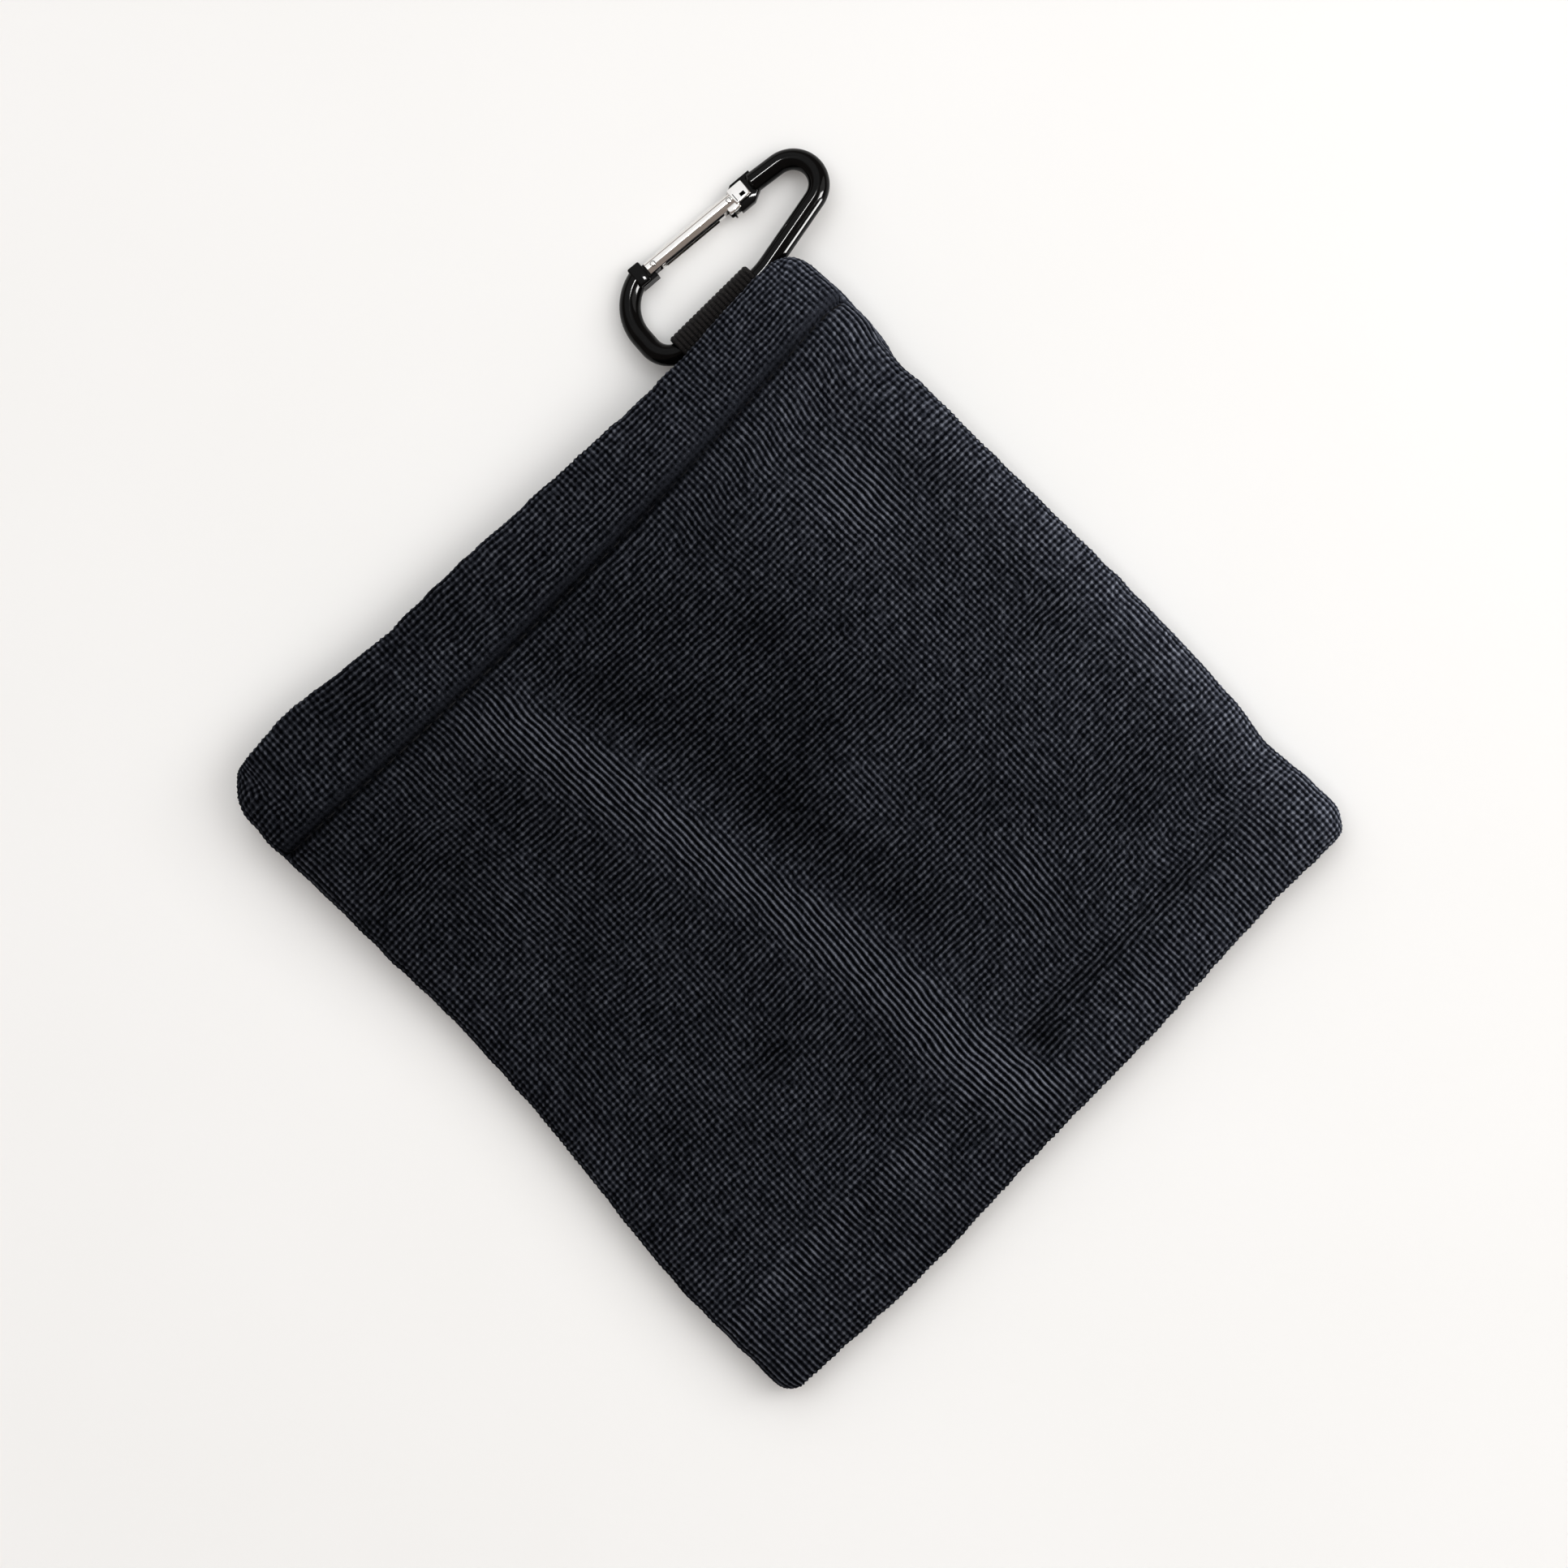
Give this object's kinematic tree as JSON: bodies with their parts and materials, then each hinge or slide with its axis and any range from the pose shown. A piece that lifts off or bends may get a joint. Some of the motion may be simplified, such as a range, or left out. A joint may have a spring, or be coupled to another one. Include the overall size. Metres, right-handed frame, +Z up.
{
  "type": "golf towel",
  "caption": "Pouch-style microfibre golf towel with a turned-in mouth hem, a webbing loop and a small carabiner.",
  "frame": {"origin": "on the underside of the pouch, near the middle, where it lies on a surface", "axes": "+Z up, +Y out of the pouch's mouth, +X along the mouth towards the corner with the loop"},
  "size_m": [0.171, 0.1774, 0.0133],
  "materials": {
    "microfibre": "thick pebbled microfibre knit",
    "thread": "spun polyester thread",
    "webbing": "ribbed narrow webbing",
    "black_metal": "glossy black anodised",
    "polished_metal": "polished bright"
  },
  "bodies": {
    "pouch": {"back_panel": "microfibre", "front_panel": "microfibre", "front_hem_thread": "thread", "back_hem_thread": "thread", "left_seam_thread": "thread", "right_seam_thread": "thread", "bottom_seam_thread": "thread", "loop_tack_thread": "thread", "webbing_loop": "webbing"},
    "carabiner": {"carabiner_frame": "black_metal"},
    "gate": {"gate_body": "polished_metal", "gate_hinge_pin": "polished_metal", "gate_nose_pin": "polished_metal", "gate_spring": "polished_metal", "spring_follower": "polished_metal"}
  },
  "joints": [
    {"name": "carabiner_swing", "type": "hinge", "parent": "pouch", "child": "carabiner", "pos_m": [0.057, 0.0773, 0.00535], "axis": [1, 0, 0], "range_deg": [0, 78]},
    {"name": "gate_hinge", "type": "hinge", "parent": "carabiner", "child": "gate", "pos_m": [0.0549, 0.09334, 0.00217], "axis": [0, -0.1942, -0.981], "range_deg": [0, 22], "stiffness_Nm_per_rad": 0.05, "springref_deg": -20.05}
  ]
}
